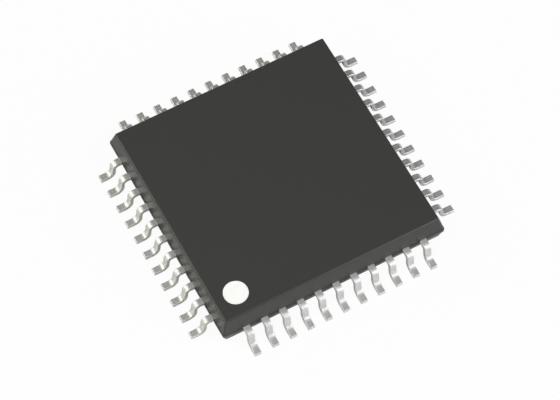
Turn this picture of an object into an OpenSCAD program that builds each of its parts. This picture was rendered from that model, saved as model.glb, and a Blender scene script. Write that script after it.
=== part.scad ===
// Quad flat pack with gull-wing leads on four sides, 10 mm body and 0.8 mm pitch.
// Millimetres. The feet stand on z = 0 and the centre of the body is over the origin.
// Pin 1 is at the -X -Y corner, by the round mark, and the pins are numbered
// counter-clockwise as seen from above: front (-Y), right (+X), back (+Y), left (-X).

/* [Body] */
// Width and length of the moulded body at its parting line
body_w = 10; // [9.8:0.1:10.2]
// Thickness of the moulded body
body_t = 1.48; // [1.35:0.01:1.5]
// Gap between the underside of the body and the board
standoff = 0.12; // [0.05:0.01:0.15]
// Slope of the side walls away from the vertical, for release from the mould
draft_angle = 14; // [8:1:15]
// Rounding of the edges of the top and bottom faces
edge_r = 0.1; // [0.03:0.01:0.12]
// Chamfer of the four upright corners
corner_chamfer = 0.06; // [0.04:0.02:0.2]
// How far the thin rim between the two mould halves stands proud
rim_out = 0.015; // [0.01:0.005:0.05]

/* [Pin one mark] */
// Diameter of the round mark
mark_d = 1.03; // [0.6:0.01:1.2]
// Distance of its centre from each edge of the top face
mark_inset = 0.97; // [0.8:0.01:1.5]
// Depth of the moulded dimple that holds the ink
mark_depth = 0.05; // [0.03:0.01:0.08]
// Share of that depth that the ink fills
ink_fill = 0.8; // [0.5:0.1:1]

/* [Ejector marks] */
// Diameter of the two shallow circles that the ejector pins leave on the underside
ejector_d = 1.6; // [1:0.1:2]
// Distance of each circle from the centre, along the diagonal
ejector_reach = 4; // [3:0.1:4.4]

/* [Leads] */
// Leads on each side
leads_per_side = 11; // [5:2:11]
// Distance from one lead to the next
pitch = 0.8; // [0.65:0.05:0.8]
// Width of a lead outside the body
lead_w = 0.3; // [0.22:0.01:0.34]
// Thickness of the lead frame sheet
lead_t = 0.15; // [0.12:0.01:0.18]
// Overall size from foot tip to foot tip
span = 12; // [11.8:0.1:12.2]
// Height of the middle of the sheet where a lead leaves the body
lead_z = 0.78; // [0.74:0.01:0.84]
// Radius of the upper bend, at the middle of the sheet
bend_r = 0.2; // [0.15:0.01:0.22]
// Radius of the lower bend, at the middle of the sheet
foot_bend_r = 0.3; // [0.2:0.01:0.32]
// Angle that each bend turns through
bend_angle = 84; // [78:1:86]
// Length of the flat foot
foot_len = 0.3; // [0.25:0.01:0.34]

/* [Inside] */
// Width of the square silicon die
die_w = 3.5; // [3:0.1:3.8]
// Thickness of the die
die_t = 0.28; // [0.2:0.01:0.3]
// Thickness of the die-attach film
attach_t = 0.03; // [0.02:0.01:0.05]
// Width of the square paddle that carries the die
paddle_w = 5.2; // [4.6:0.1:5.4]
// How far the paddle is set down below the plane of the leads
downset = 0.2; // [0.16:0.01:0.24]
// Width of the tie bars at the corners of the paddle
tie_w = 0.24; // [0.16:0.02:0.26]
// Diameter of the gold bond wires
wire_d = 0.025; // [0.02:0.001:0.035]
// Height of the wire loops above the die
loop_h = 0.18; // [0.12:0.01:0.24]

/* [Hidden] */
$fn = 64;

// A two-digit pin number, so that the nodes sort in pin order.
function pin_name(n) = str("lead_", n < 10 ? "0" : "", n);

pins = 4 * leads_per_side;
SIDES = ["front", "right", "back", "left"];

// Heights of the body and of the flat sheet that the leads are cut from.
body_bottom = standoff;
body_top = standoff + body_t;
sheet_bottom = lead_z - lead_t / 2;
sheet_top = lead_z + lead_t / 2;
half_body = body_w / 2;

// Heights inside: the paddle, then the film on it, then the die on that.
paddle_bottom = sheet_bottom - downset;
paddle_top = paddle_bottom + lead_t;
die_bottom = paddle_top + attach_t;
die_top = die_bottom + die_t;
attach_margin = 0.08;

// Gull wing: the straight part of each bend's far side, then the flat foot.
reach = (span - body_w) / 2;
bends_r = bend_r + foot_bend_r;
slope_len = (lead_z - lead_t / 2 - bends_r * (1 - cos(bend_angle))) / sin(bend_angle);
wing_run = bends_r * sin(bend_angle) + slope_len * cos(bend_angle);
shoulder_len = reach - foot_len - wing_run;
bend_steps = 8;

// Inner ends of the leads: straight through the wall, a wider key that the moulding
// grips, then a finger fanned in to the paddle.
wall_depth = 0.4;
key_w = lead_w + 0.1;
key_start = 0.12;
key_end = 0.32;
fan = 0.6;
tip_y = 3.1;
tip_w = 0.2;

// Tie bars end just inside the corners of the body.
tie_cover = 0.3;
tie_foot = 0.2;

// Bond wires: a flattened ball on the die, a loop, and a stitch on the lead.
pad_inset = 0.1;
pad_fan = 0.38;
ball_d = 0.07;
ball_t = 0.02;
stitch_len = 0.08;
stitch_inset = 0.12;
wire_sides = 6;
loop_steps = 6;
// Shape of the loop: its two control heights as shares of loop_h, and how far the
// second one lies along the run.
loop_rise = 1.35;
loop_hold = 1.1;
loop_lean = 0.45;
// Step along the curve that gives its direction.
curve_step = 0.01;

// Steps round the moulded edges, and how far cutting shapes run past a face.
edge_steps = 5;
skin = 0.01;

body_color = [0.25, 0.25, 0.245];
tin_color = [0.74, 0.74, 0.72];
copper_color = [0.72, 0.45, 0.3];
film_color = [0.75, 0.75, 0.78];
silicon_color = [0.35, 0.37, 0.45];
gold_color = [0.9, 0.7, 0.25];
ink_color = [0.97, 0.97, 0.96];

// ---------------------------------------------------------------- body

// A square with its corners cut, c along each side.
module cut_square(half, c) {
    polygon([
        [half - c, -half], [half, c - half], [half, half - c], [half - c, half],
        [c - half, half], [-half, half - c], [-half, c - half], [c - half, -half]
    ]);
}

// Section across one half of the moulding, y up from its parting face: drafted walls
// that round over into the flat face at height h.
module wall_section(h) {
    arc_y = h - edge_r;
    arc_x = half_body - arc_y * tan(draft_angle) - edge_r / cos(draft_angle);
    edge = arc([arc_x, arc_y], edge_r, draft_angle, 90, edge_steps);
    polygon(concat(
        [[-half_body, 0], [half_body, 0]], edge,
        [for (k = [edge_steps:-1:0]) [-edge[k][0], edge[k][1]]]
    ));
}

// Section along a diagonal, which cuts the chamfer and leans in with the walls.
module corner_section(h) {
    foot = (half_body - corner_chamfer / 2) * sqrt(2);
    head = foot - h * tan(draft_angle) * sqrt(2);
    polygon([[-foot, 0], [foot, 0], [head, h], [-head, h]]);
}

// A section drawn in x and y, stood upright and run right across the body.
module across(turn) {
    rotate([90, 0, turn])
        linear_extrude(height = 2 * body_w, center = true)
            children();
}

// One half of the moulding, standing on its parting face at z = 0.
module half_shell(h) {
    intersection() {
        across(0) wall_section(h);
        across(90) wall_section(h);
        across(45) corner_section(h);
        across(135) corner_section(h);
    }
}

// Both halves, with the thin rim where they met on the lead frame.
module moulding() {
    translate([0, 0, sheet_top])
        half_shell(body_top - sheet_top);
    translate([0, 0, sheet_bottom])
        mirror([0, 0, 1])
            half_shell(sheet_bottom - body_bottom);
    translate([0, 0, sheet_bottom])
        linear_extrude(height = lead_t)
            cut_square(half_body + rim_out, corner_chamfer);
}

module mark_place() {
    top_half = half_body - (body_top - sheet_top) * tan(draft_angle);
    mark_xy = mark_inset - top_half;
    translate([mark_xy, mark_xy, body_top - mark_depth])
        children();
}

module ejector_marks() {
    for (turn = [45, 225])
        rotate(turn)
            translate([ejector_reach, 0, body_bottom - skin])
                cylinder(d = ejector_d, h = mark_depth + skin);
}

// The moulding closes round everything inside it, so each piece cuts its own place.
module moulded_body() {
    color(body_color)
        difference() {
            moulding();
            mark_place()
                cylinder(d = mark_d, h = mark_depth + skin);
            ejector_marks();
            die_paddle();
            die_attach();
            silicon_die();
            for (s = [0:3]) bond_wires(s);
            for (n = [1:pins]) lead(n);
        }
}

// White ink, a little below the face of the body.
module pin_one_dot() {
    color(ink_color)
        mark_place()
            cylinder(d = mark_d, h = mark_depth * ink_fill);
}

// ---------------------------------------------------------------- leads

// Places children on one side of the package: 0 front, 1 right, 2 back, 3 left.
module on_side(s) {
    rotate(90 * s)
        children();
}

// Along the side, the place of lead i, from 0.
function lead_x(i) = (i - (leads_per_side - 1) / 2) * pitch;

// Points on an arc about c, from angle a0 to a1.
function arc(c, r, a0, a1, steps) =
    [for (k = [0:steps]) let (a = a0 + (a1 - a0) * k / steps) c + r * [cos(a), sin(a)]];

// Side view of the gull wing, x outwards from the body and y up, starting at x = 0.
// side is 1 for the upper surface of the sheet and -1 for the lower one.
function wing_side(side) =
    let (
        off = side * lead_t / 2,
        turn = bend_angle,
        c1 = [shoulder_len, lead_z - bend_r],
        c2 = [reach - foot_len, lead_t / 2 + foot_bend_r]
    )
    concat(
        [[0, lead_z + off]],
        arc(c1, bend_r + off, 90, 90 - turn, bend_steps),
        arc(c2, foot_bend_r - off, 270 - turn, 270, bend_steps),
        [[reach, lead_t / 2 + off]]
    );

module wing_profile() {
    upper = wing_side(1);
    lower = wing_side(-1);
    polygon(concat(upper, [for (k = [len(lower) - 1:-1:0]) lower[k]]));
}

// The part of a lead inside the body, in plan: its straight root, the key, and the
// finger that leans in towards the paddle and narrows to its tip.
module finger(i) {
    x0 = lead_x(i);
    x1 = fan * x0;
    root_y = -half_body;
    right_edge = [
        [x0 + lead_w / 2, root_y], [x0 + lead_w / 2, root_y + key_start],
        [x0 + key_w / 2, root_y + key_start], [x0 + key_w / 2, root_y + key_end],
        [x0 + lead_w / 2, root_y + wall_depth], [x1 + tip_w / 2, -tip_y]
    ];
    left_edge = [
        [x1 - tip_w / 2, -tip_y], [x0 - lead_w / 2, root_y + wall_depth],
        [x0 - key_w / 2, root_y + key_end], [x0 - key_w / 2, root_y + key_start],
        [x0 - lead_w / 2, root_y + key_start], [x0 - lead_w / 2, root_y]
    ];
    polygon(concat(right_edge, left_edge));
}

// One lead, number n: its finger and its gull wing are one strip of the sheet.
module lead(n) {
    s = floor((n - 1) / leads_per_side);
    i = (n - 1) % leads_per_side;
    color(tin_color)
        on_side(s) {
            translate([0, 0, sheet_bottom])
                linear_extrude(height = lead_t)
                    finger(i);
            translate([lead_x(i) - lead_w / 2, -half_body, 0])
                rotate([90, 0, -90])
                    mirror([0, 0, 1])
                        linear_extrude(height = lead_w)
                            wing_profile();
        }
}

// ---------------------------------------------------------------- paddle and die

// Side view of a tie bar, x out along the diagonal and y up: the paddle's level, the
// slope of the down-set, then the level of the leads.
module tie_profile() {
    start = paddle_w / 2;
    slope_start = paddle_w / sqrt(2) + tie_foot;
    slope_end = slope_start + downset;
    end = half_body * sqrt(2) - tie_cover;
    corner = lead_t * tan(22.5);
    polygon([
        [start, paddle_bottom], [slope_start, paddle_bottom], [slope_end, sheet_bottom],
        [end, sheet_bottom], [end, sheet_top], [slope_end - corner, sheet_top],
        [slope_start - corner, paddle_top], [start, paddle_top]
    ]);
}

module die_paddle() {
    color(copper_color) {
        translate([-paddle_w / 2, -paddle_w / 2, paddle_bottom])
            cube([paddle_w, paddle_w, lead_t]);
        for (turn = [45:90:315])
            rotate(turn)
                translate([0, tie_w / 2, 0])
                    rotate([90, 0, 0])
                        linear_extrude(height = tie_w)
                            tie_profile();
    }
}

// A square plate, centred, with its underside at z.
module plate(w, t, z) {
    translate([-w / 2, -w / 2, z])
        cube([w, w, t]);
}

module die_attach() {
    color(film_color)
        plate(die_w + 2 * attach_margin, attach_t, paddle_top);
}

module silicon_die() {
    color(silicon_color)
        plate(die_w, die_t, die_bottom);
}

// ---------------------------------------------------------------- bond wires

// A point on the cubic curve through the control points b, at t from 0 to 1.
function bezier(b, t) =
    pow(1 - t, 3) * b[0] + 3 * pow(1 - t, 2) * t * b[1]
    + 3 * (1 - t) * t * t * b[2] + t * t * t * b[3];

// The middle of a wire in its own upright plane: x along the board from the ball to the
// stitch at run, y up. Each row is [point, radius, direction of travel].
function wire_rows(run) =
    let (
        flat_r = wire_d / 2 * cos(180 / wire_sides),
        stitch_z = sheet_top + flat_r,
        up = die_top + ball_t,
        b = [[0, up + ball_t], [0, die_top + loop_h * loop_rise],
             [run * loop_lean, die_top + loop_h * loop_hold], [run - stitch_len, stitch_z]]
    )
    concat(
        [[[0, die_top], ball_d / 2, 90], [[0, up], ball_d / 2, 90]],
        [for (k = [0:loop_steps - 1])
            let (t = k / loop_steps, p = bezier(b, t), q = bezier(b, t + curve_step) - p)
            [p, wire_d / 2, atan2(q[1], q[0])]],
        [[b[3], wire_d / 2, 0], [[run, stitch_z], wire_d / 2, 0]]
    );

// A wire from [x, y] on the die to [x, y] on the lead: a six-sided tube along its rows.
module wire(from, to) {
    along = to - from;
    run = norm(along);
    rows = wire_rows(run);
    last = len(rows) - 1;
    points = [
        for (row = rows, k = [0:wire_sides - 1])
            let (a = 360 * k / wire_sides, up = row[1] * sin(a))
            [row[0][0] - up * sin(row[2]), row[1] * cos(a), row[0][1] + up * cos(row[2])]
    ];
    walls = [
        for (r = [0:last - 1], k = [0:wire_sides - 1])
            let (j = (k + 1) % wire_sides, at = r * wire_sides)
            [at + k, at + k + wire_sides, at + j + wire_sides, at + j]
    ];
    ends = [
        [for (k = [0:wire_sides - 1]) k],
        [for (k = [wire_sides - 1:-1:0]) last * wire_sides + k]
    ];
    translate([from[0], from[1], 0])
        rotate(atan2(along[1], along[0]))
            polyhedron(points = points, faces = concat(walls, ends));
}

// Where the wire of lead i leaves the die, and where it is stitched to the finger.
function pad_xy(i) = [pad_fan * lead_x(i), pad_inset - die_w / 2];
function stitch_xy(i) =
    let (back = stitch_inset / (half_body - wall_depth - tip_y))
    [lead_x(i) * (fan + (1 - fan) * back), -tip_y - stitch_inset];

module bond_wires(s) {
    color(gold_color)
        on_side(s)
            for (i = [0:leads_per_side - 1])
                wire(pad_xy(i), stitch_xy(i));
}

moulded_body();
pin_one_dot();
die_paddle();
die_attach();
silicon_die();
for (s = [0:3]) bond_wires(s);
for (n = [1:pins]) lead(n);
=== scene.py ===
"""A quad flat pack chip, dressed over its solid frame: lead frame, die, wires, moulding and mark."""

import bpy
import numpy as np
from mathutils import Matrix, Vector


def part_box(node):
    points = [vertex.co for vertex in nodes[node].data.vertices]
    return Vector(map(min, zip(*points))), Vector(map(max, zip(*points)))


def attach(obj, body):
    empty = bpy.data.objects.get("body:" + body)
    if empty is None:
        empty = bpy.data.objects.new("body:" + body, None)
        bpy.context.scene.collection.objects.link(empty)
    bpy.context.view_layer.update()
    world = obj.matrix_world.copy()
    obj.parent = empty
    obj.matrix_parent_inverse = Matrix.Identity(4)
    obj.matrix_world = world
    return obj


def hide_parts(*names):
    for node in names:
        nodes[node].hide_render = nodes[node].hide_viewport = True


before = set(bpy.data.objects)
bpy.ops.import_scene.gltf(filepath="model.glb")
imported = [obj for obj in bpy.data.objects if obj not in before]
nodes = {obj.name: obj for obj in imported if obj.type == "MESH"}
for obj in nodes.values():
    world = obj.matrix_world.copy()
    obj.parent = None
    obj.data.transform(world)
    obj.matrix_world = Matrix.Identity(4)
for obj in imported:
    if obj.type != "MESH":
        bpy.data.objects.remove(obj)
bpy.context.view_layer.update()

mm = 0.001

# ---------------------------------------------------------------- die paddle
# The paddle and its four tie bars are one stamping of rolled copper alloy sheet.
# It is held by its tie bars in the corners of the moulding, a step below the leads.
# The solid already has the down-set bends, so it only takes its finish here.

ROLLED_COPPER = (0.78, 0.47, 0.33, 1)
COPPER_SHADE = (0.62, 0.33, 0.21, 1)
ROLL_MARK = 0.012 * mm


def grain_group():
    """Surface grain for every finish: a fine height and a slow patchy tone, both from 0 to 1.

    Grains is how many grains fit in a metre. The tone has one patch for every 14 grains.
    """
    group = bpy.data.node_groups.new("surface_grain", "ShaderNodeTree")
    face = group.interface
    face.new_socket("Vector", in_out="INPUT", socket_type="NodeSocketVector")
    face.new_socket("Grains", in_out="INPUT", socket_type="NodeSocketFloat")
    face.new_socket("Height", in_out="OUTPUT", socket_type="NodeSocketFloat")
    face.new_socket("Tone", in_out="OUTPUT", socket_type="NodeSocketFloat")
    made, join = group.nodes.new, group.links.new
    inside, outside = made("NodeGroupInput"), made("NodeGroupOutput")
    fine, slow, fewer = made("ShaderNodeTexNoise"), made("ShaderNodeTexNoise"), made("ShaderNodeMath")
    fine.inputs["Detail"].default_value = 3
    fine.inputs["Roughness"].default_value = 0.6
    slow.inputs["Detail"].default_value = 4
    fewer.operation = "DIVIDE"
    fewer.inputs[1].default_value = 14
    join(inside.outputs["Vector"], fine.inputs["Vector"])
    join(inside.outputs["Vector"], slow.inputs["Vector"])
    join(inside.outputs["Grains"], fine.inputs["Scale"])
    join(inside.outputs["Grains"], fewer.inputs[0])
    join(fewer.outputs[0], slow.inputs["Scale"])
    join(fine.outputs["Fac"], outside.inputs["Height"])
    join(slow.outputs["Fac"], outside.inputs["Tone"])
    return group


GRAIN = grain_group()


class Finish:
    """One material under construction: its Principled shader, its links and its grain."""

    def __init__(self, name, metallic, roughness):
        self.material = bpy.data.materials.new(name)
        self.material.use_nodes = True
        self.tree = self.material.node_tree
        self.shader = self.tree.nodes["Principled BSDF"]
        self.shader.inputs["Metallic"].default_value = metallic
        self.shader.inputs["Roughness"].default_value = roughness

    def node(self, kind, **values):
        """A new node with its input sockets, named with _ for a space, set or linked."""
        made = self.tree.nodes.new(kind)
        for socket, value in values.items():
            self.feed(made.inputs[socket.replace("_", " ")], value)
        return made

    def feed(self, socket, value):
        if isinstance(value, bpy.types.NodeSocket):
            self.tree.links.new(value, socket)
        else:
            socket.default_value = value

    def place(self, stretch=(1, 1, 1)):
        """Object coordinates, squeezed by stretch so that grain runs long in one direction."""
        spot = self.node("ShaderNodeTexCoord").outputs["Object"]
        return self.node("ShaderNodeMapping", Vector=spot, Scale=stretch).outputs["Vector"]

    def grain(self, size, vector):
        """Height and tone of grain of that size in metres."""
        made = self.tree.nodes.new("ShaderNodeGroup")
        made.node_tree = GRAIN
        self.feed(made.inputs["Vector"], vector)
        self.feed(made.inputs["Grains"], 1 / size)
        return made.outputs["Height"], made.outputs["Tone"]

    def upward(self):
        """How far the surface faces up: 1 on a level top and 0 on an upright wall."""
        normal = self.node("ShaderNodeNewGeometry").outputs["Normal"]
        return self.node("ShaderNodeSeparateXYZ", Vector=normal).outputs["Z"]

    def span(self, value, low, high, start=0.25, end=0.75):
        """Value from start to end, turned into low to high."""
        made = self.node(
            "ShaderNodeMapRange", Value=value, From_Min=start, From_Max=end, To_Min=low, To_Max=high
        )
        return made.outputs["Result"]

    def mix(self, share, a, b):
        """Colour a turning to colour b as share goes from 0 to 1."""
        made = self.node("ShaderNodeMixRGB")
        self.feed(made.inputs["Fac"], share)
        self.feed(made.inputs["Color1"], a)
        self.feed(made.inputs["Color2"], b)
        return made.outputs["Color"]

    def colour(self, value):
        self.feed(self.shader.inputs["Base Color"], value)

    def rough(self, value):
        self.feed(self.shader.inputs["Roughness"], value)

    def bump(self, height, depth, strength=1.0):
        made = self.node("ShaderNodeBump", Height=height, Distance=depth, Strength=strength)
        self.feed(self.shader.inputs["Normal"], made.outputs["Normal"])


def rolled_copper():
    """Copper alloy sheet: long shallow rolling marks along Y and a little tarnish in patches."""
    finish = Finish("rolled_copper", 1.0, 0.35)
    height, tone = finish.grain(ROLL_MARK, finish.place((1, 0.06, 1)))
    finish.colour(finish.mix(finish.span(tone, 0, 1), ROLLED_COPPER, COPPER_SHADE))
    finish.rough(finish.span(height, 0.28, 0.46))
    finish.bump(height, 0.0006 * mm)
    return finish.material


def dress(node_name, material):
    """Gives a solid of the frame its finish."""
    node = nodes[node_name]
    node.data.materials.clear()
    node.data.materials.append(material)


dress("die_paddle", rolled_copper())

# ---------------------------------------------------------------- die attach
# A film of silver-filled epoxy, squeezed out a little round the die when it was placed.
# It stands on the paddle, and its edge climbs in a small fillet to the die's underside.

film_low, film_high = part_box("die_attach")
film_half = film_high.x
FILM_COLOUR = (0.60, 0.60, 0.60, 1)
FILM_SHADE = (0.42, 0.42, 0.43, 1)
FILM_CORNER = 0.12 * mm
SILVER_FLAKE = 0.006 * mm


def square_ring(half, corner, steps=4):
    """Points round a square with rounded corners, counter-clockwise from above.

    Each corner is a quarter circle of radius corner about (half - corner) on both axes.
    """
    turn = np.linspace(0, np.pi / 2, steps)
    start = np.repeat(np.arange(4) * np.pi / 2, steps)
    angle = start + np.tile(turn, 4)
    centre = np.sign(np.stack([np.cos(start + np.pi / 4), np.sin(start + np.pi / 4)], 1))
    return centre * (half - corner) + corner * np.stack([np.cos(angle), np.sin(angle)], 1)


def loft(name, rings, material, smooth=True):
    """A closed piece through rings of points, given as an array of ring, point and xyz.

    Quads join each ring to the next, and one flat face closes each end. Rings run
    counter-clockwise as seen from the last ring's end, so the faces point outwards.
    """
    rows, around = rings.shape[:2]
    here = np.arange(rows * around).reshape(rows, around)
    beside = np.roll(here, -1, axis=1)
    quads = np.stack([here[:-1], beside[:-1], beside[1:], here[1:]], -1).reshape(-1, 4)
    faces = quads.tolist() + [here[0, ::-1].tolist(), here[-1].tolist()]
    mesh = bpy.data.meshes.new(name)
    mesh.from_pydata(rings.reshape(-1, 3), [], faces)
    mesh.polygons.foreach_set("use_smooth", [smooth] * len(quads) + [False, False])
    mesh.materials.append(material)
    piece = bpy.data.objects.new(name, mesh)
    bpy.context.scene.collection.objects.link(piece)
    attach(piece, "root")
    return piece


def stacked_squares(profile, corner):
    """Rings of a square plate from its side profile, a list of half width and height."""
    rings = [square_ring(half, corner) for half, _ in profile]
    return np.array([np.c_[ring, np.full(len(ring), z)] for ring, (_, z) in zip(rings, profile)])


def silver_epoxy():
    """Dull silver flakes in resin."""
    finish = Finish("silver_filled_epoxy", 0.6, 0.5)
    height, tone = finish.grain(SILVER_FLAKE, finish.place())
    finish.colour(finish.mix(finish.span(height, 0, 1), FILM_COLOUR, FILM_SHADE))
    finish.rough(finish.span(tone, 0.4, 0.6))
    finish.bump(height, 0.0015 * mm)
    return finish.material


film_t = film_high.z - film_low.z
film_profile = [
    (film_half - 0.010 * mm, film_low.z),
    (film_half, film_low.z + 0.15 * film_t),
    (film_half - 0.012 * mm, film_low.z + 0.45 * film_t),
    (film_half - 0.045 * mm, film_low.z + 0.75 * film_t),
    (film_half - 0.070 * mm, film_high.z),
]
film_rings = stacked_squares(film_profile, FILM_CORNER)
film = loft("attach_film", film_rings, silver_epoxy())
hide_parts("die_attach")

# ---------------------------------------------------------------- silicon die
# Sawn from its wafer with two blades, which leave a narrow ledge below the top face.
# On the real die, rows of square aluminium pads stand along its edges, one under each wire's ball;
# this section draws no pads.

die_low, die_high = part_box("silicon_die")
die_half = die_high.x
SAW_LEDGE = 0.015 * mm
DIE_CORNER = 0.004 * mm
CIRCUIT_BLOCK = 0.28 * mm
GLASS_GRAIN = 0.01 * mm
PASSIVATION = (0.10, 0.16, 0.14, 1)
PASSIVATION_WARM = (0.20, 0.16, 0.10, 1)
SAWN_SILICON = (0.17, 0.18, 0.20, 1)


def silicon():
    """Glassy passivation over blocks of circuits: square cells that differ in tint."""
    finish = Finish("passivated_silicon", 0.55, 0.18)
    place = finish.place()
    cells = finish.node("ShaderNodeTexVoronoi", Vector=place, Scale=1 / CIRCUIT_BLOCK, Randomness=0.55)
    cells.distance = "CHEBYCHEV"
    height, tone = finish.grain(GLASS_GRAIN, place)
    tint = finish.node("ShaderNodeSeparateColor", Color=cells.outputs["Color"]).outputs["Red"]
    face = finish.mix(tint, PASSIVATION, PASSIVATION_WARM)
    top = finish.span(finish.upward(), 0, 1, 0.5, 0.9)
    finish.colour(finish.mix(top, SAWN_SILICON, face))
    finish.rough(finish.span(tone, 0.12, 0.3))
    finish.bump(height, 0.0004 * mm)
    return finish.material


die_profile = [
    (die_half, die_low.z),
    (die_half, die_low.z + 0.68 * (die_high.z - die_low.z)),
    (die_half - SAW_LEDGE, die_low.z + 0.70 * (die_high.z - die_low.z)),
    (die_half - SAW_LEDGE, die_high.z),
]
die_rings = stacked_squares(die_profile, DIE_CORNER)
die = loft("sawn_die", die_rings, silicon(), smooth=False)
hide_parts("silicon_die")

# ---------------------------------------------------------------- leads
# 44 leads, 11 a side, stamped from 0.15 mm copper alloy sheet and bent to a gull wing.
# Outside the moulding they are plated with matte tin; inside they stay bare copper, with
# a silver spot at the tip that takes the wire. A wider key grips the moulding.

LEADS_A_SIDE = 11
PITCH = 0.8 * mm
LEAD_W = 0.3 * mm
LEAD_T = 0.15 * mm
KEY_W = 0.4 * mm
TIP_W = 0.2 * mm
UPPER_R = 0.2 * mm
LOWER_R = 0.3 * mm
BEND = np.radians(84)
FOOT = 0.3 * mm
# The stamping rolls the upper edges over and leaves the lower ones sharper.
ROLLED_EDGE = 0.035 * mm
SHARP_EDGE = 0.012 * mm

middle_low, middle_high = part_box("lead_06")
half_span = -middle_low.y
sheet_mid = middle_high.z - LEAD_T / 2
# Half the width of the moulding at the height where the leads come out.
wall = 5.0 * mm
finger_in = wall + middle_high.y
FAN = 0.6
# Distances in from the wall: the key's two ends, and where the finger starts to lean.
KEY_START = 0.12 * mm
KEY_END = 0.32 * mm
WALL_DEPTH = 0.4 * mm
# The shoulder of the key takes this much of the strip's length.
KEY_STEP = 0.01 * mm
# A point this near each edge keeps the shading of the flats flat.
NUDGE = 0.012 * mm
EDGE_STEPS = 4

TIN = (0.80, 0.80, 0.79, 1)
TIN_SHADE = (0.72, 0.72, 0.71, 1)
SILVER_SPOT = (0.90, 0.89, 0.86, 1)
TIN_GRAIN = 0.008 * mm
# Where one finish turns into the next, in millimetres out from the wall.
SILVER_TO_COPPER = (-1.12, -1.08)
COPPER_TO_TIN = (-0.06, -0.04)


def wing_line():
    """The middle line of a lead as distance out from the wall, height, and heading.

    It is walked in straight and bent stretches: a stretch of length l that turns by t is
    cut in equal steps, and each step moves along its mean heading by l / steps times
    sin(h) / h, where h is half of the step's turn, so that its points lie on the arc.
    """
    reach = half_span - wall
    bend_out = (UPPER_R + LOWER_R) * np.sin(BEND)
    bend_down = (UPPER_R + LOWER_R) * (1 - np.cos(BEND))
    slope = (sheet_mid - LEAD_T / 2 - bend_down) / np.sin(BEND)
    shoulder = reach - FOOT - bend_out - slope * np.cos(BEND)
    stretches = [
        (SHARP_EDGE, 0, 3), (NUDGE, 0, 1), (finger_in - WALL_DEPTH - SHARP_EDGE - NUDGE, 0, 3),
        (WALL_DEPTH - KEY_END - KEY_STEP, 0, 1), (KEY_STEP, 0, 1), (KEY_END - KEY_START, 0, 1),
        (KEY_STEP, 0, 1), (KEY_START - KEY_STEP, 0, 1), (shoulder - NUDGE, 0, 2), (NUDGE, 0, 1),
        (UPPER_R * BEND, -BEND, 12), (NUDGE, 0, 1), (slope - 2 * NUDGE, 0, 1), (NUDGE, 0, 1),
        (LOWER_R * BEND, BEND, 12), (NUDGE, 0, 1), (FOOT - 2 * NUDGE - ROLLED_EDGE, 0, 1),
        (NUDGE, 0, 1), (0.7 * ROLLED_EDGE, 0, 3), (0.3 * ROLLED_EDGE, 0, 3),
    ]
    length = np.concatenate([np.full(steps, l / steps) for l, _, steps in stretches])
    turn = np.concatenate([np.full(steps, t / steps) for _, t, steps in stretches])
    heading = np.concatenate([[0], np.cumsum(turn)])
    mean = heading[:-1] + turn / 2
    chord = length * np.sinc(turn / 2 / np.pi)
    out = np.concatenate([[0], np.cumsum(chord * np.cos(mean))]) - finger_in
    height = sheet_mid + np.concatenate([[0], np.cumsum(chord * np.sin(mean))])
    along = np.concatenate([[0], np.cumsum(length)])
    return out, height, heading, along


OUT, HEIGHT, HEADING, ALONG = wing_line()


def sheet_section():
    """A cut across the sheet as three arrays per point: sides, roll and gap.

    A point lies at sides * (half size - radius - gap) + roll * radius, on each axis. The
    radius is the rolled edge above and the sharp one below. Each corner is a quarter
    circle with one more point just along each flat, which keeps the flats flat.
    """
    turn = np.concatenate([[0], np.linspace(0, np.pi / 2, EDGE_STEPS), [np.pi / 2]])
    turn = np.tile(turn, 4) + np.repeat(np.arange(4) * np.pi / 2, EDGE_STEPS + 2)
    roll = np.stack([np.cos(turn), np.sin(turn)], 1)
    sides = np.repeat([[1, 1], [-1, 1], [-1, -1], [1, -1]], EDGE_STEPS + 2, axis=0)
    first = np.eye(EDGE_STEPS + 2)[0]
    before = np.tile(first, 4)
    after = np.tile(first[::-1], 4)
    level = np.repeat([0, 1, 0, 1], EDGE_STEPS + 2)
    gaps = np.stack([np.where(level == 0, after, before), np.where(level == 0, before, after)], 1)
    return sides, roll, gaps * NUDGE


SIDES, ROLL, GAPS = sheet_section()


def lead_rings(number):
    """Rings of one lead: the section carried along the middle line and turned to its side.

    Inside the moulding the middle shifts from the lead's own place towards FAN times it,
    and the width goes from the tip through the key to the wall. The two ends close in by
    a quarter round, and the upper edge of the foot's end drops by a larger one. Both
    rounds stop short of the full quarter, so that no ring closes to a line.
    """
    side, place = divmod(number - 1, LEADS_A_SIDE)
    x = (place - (LEADS_A_SIDE - 1) / 2) * PITCH
    inside = -OUT
    shift = x * np.interp(inside, [WALL_DEPTH, finger_in], [1, FAN])
    width = np.interp(
        inside,
        [KEY_START - KEY_STEP, KEY_START, KEY_END, WALL_DEPTH, finger_in],
        [LEAD_W, KEY_W, KEY_W, LEAD_W, TIP_W],
    )
    to_tip = ALONG[-1] - ALONG
    close = np.clip(1 - np.minimum(ALONG, to_tip) / SHARP_EDGE, 0, 0.8)
    shrink = SHARP_EDGE * (1 - np.sqrt(1 - close**2))
    rolled = np.clip(1 - to_tip / ROLLED_EDGE, 0, 0.9)
    drop = ROLLED_EDGE * (1 - np.sqrt(1 - rolled**2))
    radius = np.where(SIDES[:, 1] > 0, ROLLED_EDGE, SHARP_EDGE)[None, :, None]
    half = np.stack([width / 2 - shrink, np.full(len(OUT), LEAD_T / 2) - shrink], 1)[:, None, :]
    cut = SIDES * (half - radius - GAPS) + ROLL * radius
    across = shift[:, None] + cut[..., 0]
    lift = cut[..., 1] - drop[:, None] * (SIDES[:, 1] > 0)
    out = wall + OUT[:, None] - np.sin(HEADING)[:, None] * lift
    height = HEIGHT[:, None] + np.cos(HEADING)[:, None] * lift
    angle = side * np.pi / 2
    return np.stack([
        across * np.cos(angle) + out * np.sin(angle),
        across * np.sin(angle) - out * np.cos(angle),
        height,
    ], -1)


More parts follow.
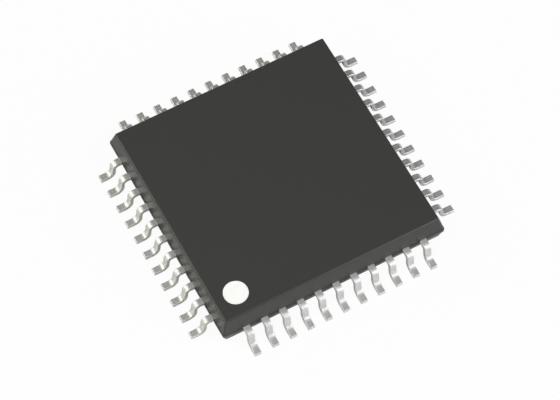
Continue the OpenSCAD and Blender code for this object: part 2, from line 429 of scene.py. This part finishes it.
def matte_tin():
    """Matte tin outside the wall, bare copper inside it, and silver at the finger's tip.

    The attribute reach is the distance out from the wall in millimetres.
    """
    finish = Finish("matte_tin_plate", 0.7, 0.36)
    place = finish.place()
    height, tone = finish.grain(TIN_GRAIN, place)
    reach = finish.node("ShaderNodeAttribute")
    reach.attribute_name = "reach"
    out = reach.outputs["Fac"]
    tin = finish.mix(finish.span(tone, 0, 1), TIN, TIN_SHADE)
    bare = finish.mix(finish.span(tone, 0, 1), ROLLED_COPPER, COPPER_SHADE)
    inner = finish.mix(finish.span(out, 0, 1, *SILVER_TO_COPPER), SILVER_SPOT, bare)
    finish.colour(finish.mix(finish.span(out, 0, 1, *COPPER_TO_TIN), inner, tin))
    finish.rough(finish.span(height, 0.36, 0.5))
    finish.bump(height, 0.0006 * mm)
    return finish.material


tin_plate = matte_tin()
for number in range(1, 4 * LEADS_A_SIDE + 1):
    lead = loft(f"gull_wing_{number:02d}", lead_rings(number), tin_plate)
    reach = lead.data.attributes.new("reach", "FLOAT", "POINT")
    reach.data.foreach_set("value", np.repeat(OUT / mm, len(SIDES)).astype(np.float32))
    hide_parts(f"lead_{number:02d}")

# ---------------------------------------------------------------- bond wires
# Fine gold wires, one from each lead. Each is balled on its pad on the die, loops over
# the die's edge, and is pressed flat in a stitch on the silver spot of its lead.

WIRE_D = 0.025 * mm
BALL_D = 0.07 * mm
PAD_INSET = 0.1 * mm
PAD_FAN = 0.38
STITCH_IN = 0.12 * mm
STITCH_LEN = 0.08 * mm
LOOP_H = 0.18 * mm
BALL_H = 0.024 * mm
# The ball is a sphere cut off at this share of its radius, above and below.
BALL_CUT = 0.6
BALL_RINGS = 5
LOOP_RINGS = 16
WIRE_SIDES = 10
DRAWN_LINE = 0.004 * mm
GOLD = (1.0, 0.76, 0.33, 1)
GOLD_SHADE = (0.86, 0.58, 0.22, 1)


def wire_rings(number):
    """Rings of one wire, from under its ball to the end of its stitch.

    The ball is a stack of circles of radius r * sqrt(1 - q^2) as q goes up from -BALL_CUT
    to BALL_CUT.
    The loop is a cubic curve with its two controls above the die, and the stitch narrows
    to a third of its height. Rings stand square to the line, in its upright plane.
    """
    side, place = divmod(number - 1, LEADS_A_SIDE)
    x = (place - (LEADS_A_SIDE - 1) / 2) * PITCH
    back = STITCH_IN / (finger_in - WALL_DEPTH)
    start = np.array([PAD_FAN * x, PAD_INSET - die_half])
    end = np.array([x * (FAN + (1 - FAN) * back), -(wall - finger_in) - STITCH_IN])
    run = np.linalg.norm(end - start)
    top, r = die_high.z, WIRE_D / 2
    sheet_top = sheet_mid + LEAD_T / 2
    q = np.linspace(-BALL_CUT, BALL_CUT, BALL_RINGS)
    ball = np.c_[
        np.zeros(BALL_RINGS), top + (q + BALL_CUT) / (2 * BALL_CUT) * BALL_H,
        BALL_D / 2 * np.sqrt(1 - q**2), np.ones(BALL_RINGS),
    ]
    controls = np.array([
        [0, top + 0.04 * mm], [0, top + 1.35 * LOOP_H],
        [0.45 * run, top + 1.1 * LOOP_H], [run - STITCH_LEN, sheet_top + r],
    ])
    t = np.linspace(0, 1, LOOP_RINGS)[:, None]
    curve = (
        (1 - t) ** 3 * controls[0] + 3 * (1 - t) ** 2 * t * controls[1]
        + 3 * (1 - t) * t**2 * controls[2] + t**3 * controls[3]
    )
    loop = np.c_[curve, np.full(LOOP_RINGS, r), np.ones(LOOP_RINGS)]
    press = np.array([[0.35, 0.8], [0.7, 0.55], [1.0, 0.35]])
    stitch = np.c_[
        run - STITCH_LEN * (1 - press[:, 0]), sheet_top + r * press[:, 1],
        np.full(len(press), 1.25 * r), press[:, 1] / 1.25,
    ]
    rows = np.concatenate([ball, loop, stitch])
    line = np.gradient(rows[BALL_RINGS:, :2], axis=0)
    angle = np.concatenate([np.full(BALL_RINGS, np.pi / 2), np.arctan2(line[:, 1], line[:, 0])])
    turn = np.arange(WIRE_SIDES) / WIRE_SIDES * 2 * np.pi
    across = rows[:, 2:3] * np.cos(turn)
    lift = rows[:, 2:3] * rows[:, 3:4] * np.sin(turn)
    along = rows[:, 0:1] - np.sin(angle)[:, None] * lift
    height = rows[:, 1:2] + np.cos(angle)[:, None] * lift
    # The across direction, so that across, lift and the line of travel are right-handed.
    ahead = (end - start) / run
    beside = np.array([-ahead[1], ahead[0]])
    flat = start + along[..., None] * ahead - across[..., None] * beside
    a = side * np.pi / 2
    spin = np.array([[np.cos(a), np.sin(a)], [-np.sin(a), np.cos(a)]])
    return np.concatenate([flat @ spin, height[..., None]], -1)


def drawn_gold():
    """Drawn gold: bright, with fine die lines."""
    finish = Finish("drawn_gold", 1.0, 0.22)
    height, tone = finish.grain(DRAWN_LINE, finish.place())
    finish.colour(finish.mix(finish.span(tone, 0, 1), GOLD, GOLD_SHADE))
    finish.rough(finish.span(height, 0.16, 0.3))
    finish.bump(height, 0.0002 * mm)
    return finish.material


gold = drawn_gold()
for side, side_name in enumerate(["front", "right", "back", "left"]):
    first = side * LEADS_A_SIDE + 1
    wires = [
        loft(f"wire_{number:02d}", wire_rings(number), gold)
        for number in range(first, first + LEADS_A_SIDE)
    ]
    with bpy.context.temp_override(active_object=wires[0], selected_editable_objects=wires):
        bpy.ops.object.join()
    wires[0].name = f"wires_{side_name}"
    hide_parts(f"bond_wires_{side_name}")

# ---------------------------------------------------------------- moulded body
# One transfer moulding of black epoxy filled with silica, closed round the lead frame.
# The top is matt from the spark-eroded mould, and the drafted walls and the rounded edges
# are smoother.

RESIN = (0.0385, 0.0385, 0.0370, 1)
RESIN_FILLER = (0.0470, 0.0470, 0.0452, 1)
SILICA_GRAIN = 0.022 * mm


def mould_compound():
    """Black epoxy with silica grains, rougher on level faces than on the walls and edges."""
    finish = Finish("mould_compound", 0.0, 0.5)
    place = finish.place()
    height, _ = finish.grain(SILICA_GRAIN, place)
    level = finish.node("ShaderNodeMath")
    level.operation = "ABSOLUTE"
    finish.feed(level.inputs[0], finish.upward())
    finish.colour(finish.mix(finish.span(height, 0, 1, 0.35, 0.8), RESIN, RESIN_FILLER))
    finish.rough(finish.span(level.outputs[0], 0.22, 0.5, 0.9, 0.99))
    finish.bump(height, 0.002 * mm, 0.6)
    finish.shader.inputs["Specular IOR Level"].default_value = 0.5
    return finish.material


dress("moulded_body", mould_compound())

# ---------------------------------------------------------------- pin one mark
# A dimple in the top face by pin one, filled with white ink that dries a little domed
# and draws up at its rim. The ink carries a painted glow, a weak emission of its own.

mark_low, mark_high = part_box("pin_one_dot")
INK = (0.98, 0.98, 0.975, 1)
INK_THIN = (0.95, 0.95, 0.94, 1)
# Colour and strength of the painted glow, a weak emission on the ink.
PAINTED_GLOW_COLOUR = (1, 1, 1, 1)
PAINTED_GLOW_STRENGTH = 0.12
INK_GRAIN = 0.03 * mm
INK_DROP = 0.006 * mm
INK_SIDES = 64


def ink_rings():
    """Circles of the dried ink: straight up its edge, a raised rim, then a shallow dome."""
    centre = (mark_low + mark_high) / 2
    radius = (mark_high.x - mark_low.x) / 2
    top = mark_high.z
    drop = INK_DROP
    profile = np.array([
        [1.0, mark_low.z], [1.0, top - drop], [0.995, top - 0.2 * drop], [0.98, top],
        [0.955, top - 0.3 * drop], [0.92, top - 0.8 * drop], [0.80, top - drop],
        [0.5, top - 0.7 * drop], [0.2, top - 0.5 * drop], [0.05, top - 0.48 * drop],
    ])
    turn = np.arange(INK_SIDES) / INK_SIDES * 2 * np.pi
    r = radius * profile[:, :1]
    return np.stack([
        centre.x + r * np.cos(turn),
        centre.y + r * np.sin(turn),
        np.repeat(profile[:, 1:], INK_SIDES, 1),
    ], -1)


def white_ink():
    """Chalky white ink, a little thinner in patches, with a painted glow: a weak white emission that
    makes it brighter than the lamps light it.
    """
    finish = Finish("white_ink", 0.0, 0.55)
    height, tone = finish.grain(INK_GRAIN, finish.place())
    finish.colour(finish.mix(finish.span(tone, 0, 0.6), INK, INK_THIN))
    finish.rough(finish.span(height, 0.45, 0.65))
    finish.bump(height, 0.002 * mm)
    # Painted glow: the ink gives off a little light of its own, which no real ink does.
    finish.shader.inputs["Emission Color"].default_value = PAINTED_GLOW_COLOUR
    finish.shader.inputs["Emission Strength"].default_value = PAINTED_GLOW_STRENGTH
    return finish.material


mark = loft("pin_one_mark", ink_rings(), white_ink())
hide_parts("pin_one_dot")

# ---------------------------------------------------------------- studio
# A pale floor under the chip in a dark room, with two soft boxes on the left, two towards
# the front right, and weak ones in front and overhead. To the camera, all round is white.

FLOOR_HALF = 0.5
# Share of plain white in what the camera sees of the floor; the rest is lit paint.
GLOW = 0.95
FLOOR_PAINT = (0.85, 0.85, 0.85, 1)
ROOM_GREY = (0.01, 0.01, 0.01, 1)
WHITE = (1, 1, 1, 1)
BOX_AWAY = 0.25
BOX_SIZE = 0.2
WARM = (1.0, 1.0, 0.92)
COOL = (0.98, 0.985, 1.0)
# In millimetres from the point that the camera aims at.
CAMERA_AWAY = 97.82


def pale_floor():
    """A pale matt floor that stays white to the camera and keeps a trace of shadow."""
    sheet = bpy.data.meshes.new("floor")
    corners = [(-1, -1), (1, -1), (1, 1), (-1, 1)]
    sheet.from_pydata([(FLOOR_HALF * x, FLOOR_HALF * y, 0) for x, y in corners], [], [(0, 1, 2, 3)])
    floor = bpy.data.objects.new("floor", sheet)
    bpy.context.scene.collection.objects.link(floor)
    material = bpy.data.materials.new("pale_floor")
    material.use_nodes = True
    tree = material.node_tree
    tree.nodes.clear()
    made, join = tree.nodes.new, tree.links.new
    paint, glow, blend, out = (
        made("ShaderNodeBsdfDiffuse"), made("ShaderNodeEmission"),
        made("ShaderNodeMixShader"), made("ShaderNodeOutputMaterial"),
    )
    path, share = made("ShaderNodeLightPath"), made("ShaderNodeMath")
    paint.inputs["Color"].default_value = FLOOR_PAINT
    share.operation = "MULTIPLY"
    share.inputs[1].default_value = GLOW
    join(path.outputs["Is Camera Ray"], share.inputs[0])
    join(share.outputs[0], blend.inputs[0])
    join(paint.outputs[0], blend.inputs[1])
    join(glow.outputs[0], blend.inputs[2])
    join(blend.outputs[0], out.inputs["Surface"])
    sheet.materials.append(material)


def room():
    """White to the camera and nearly black to everything else."""
    world = bpy.data.worlds.new("studio")
    bpy.context.scene.world = world
    world.use_nodes = True
    tree = world.node_tree
    path, wall = tree.nodes.new("ShaderNodeLightPath"), tree.nodes.new("ShaderNodeMixRGB")
    wall.inputs["Color1"].default_value = ROOM_GREY
    wall.inputs["Color2"].default_value = WHITE
    tree.links.new(path.outputs["Is Camera Ray"], wall.inputs["Fac"])
    tree.links.new(wall.outputs["Color"], tree.nodes["Background"].inputs["Color"])


def soft_box(name, direction, radiance, colour):
    """A square lamp that faces the chip; its power is radiance times pi times its area."""
    lamp = bpy.data.lights.new(name, "AREA")
    lamp.shape = "SQUARE"
    lamp.size = BOX_SIZE
    lamp.energy = radiance * np.pi * BOX_SIZE**2
    lamp.color = colour
    holder = bpy.data.objects.new(name, lamp)
    spot = Vector(direction).normalized() * BOX_AWAY
    holder.location = spot
    holder.rotation_euler = spot.to_track_quat("Z", "Y").to_euler()
    holder.visible_camera = False
    bpy.context.scene.collection.objects.link(holder)


def camera():
    """Looks down at the chip from its pin-one side, a little to the right of its diagonal."""
    azimuth, elevation = np.radians(-28.41), np.radians(61.89)
    back = Vector((
        np.sin(azimuth) * np.cos(elevation), -np.cos(azimuth) * np.cos(elevation), np.sin(elevation)
    ))
    right = Vector((np.cos(azimuth), np.sin(azimuth), 0))
    up = back.cross(right)
    aim = Vector((-0.127, -0.617, 0.665)) * mm
    lens = bpy.data.cameras.new("camera")
    lens.lens = 155.6
    lens.clip_start = 0.001
    holder = bpy.data.objects.new("camera", lens)
    turn = Matrix((right, up, back)).transposed().to_4x4()
    holder.matrix_world = Matrix.Translation(aim + back * CAMERA_AWAY * mm) @ turn
    bpy.context.scene.collection.objects.link(holder)
    bpy.context.scene.camera = holder


pale_floor()
room()
soft_box("left_box_low", (-0.64, 0.64, 0.42), 2.1, WARM)
soft_box("left_box_high", (-0.64, 0.0, 0.77), 2.3, WARM)
soft_box("right_box_low", (0.64, -0.64, 0.42), 3.5, COOL)
soft_box("right_box_high", (0.45, -0.45, 0.77), 0.7, COOL)
soft_box("front_box", (0.0, -0.91, 0.42), 0.35, COOL)
soft_box("overhead_box", (0.0, 0.001, 1.0), 0.4, COOL)
camera()
bpy.context.scene.view_settings.view_transform = "Standard"
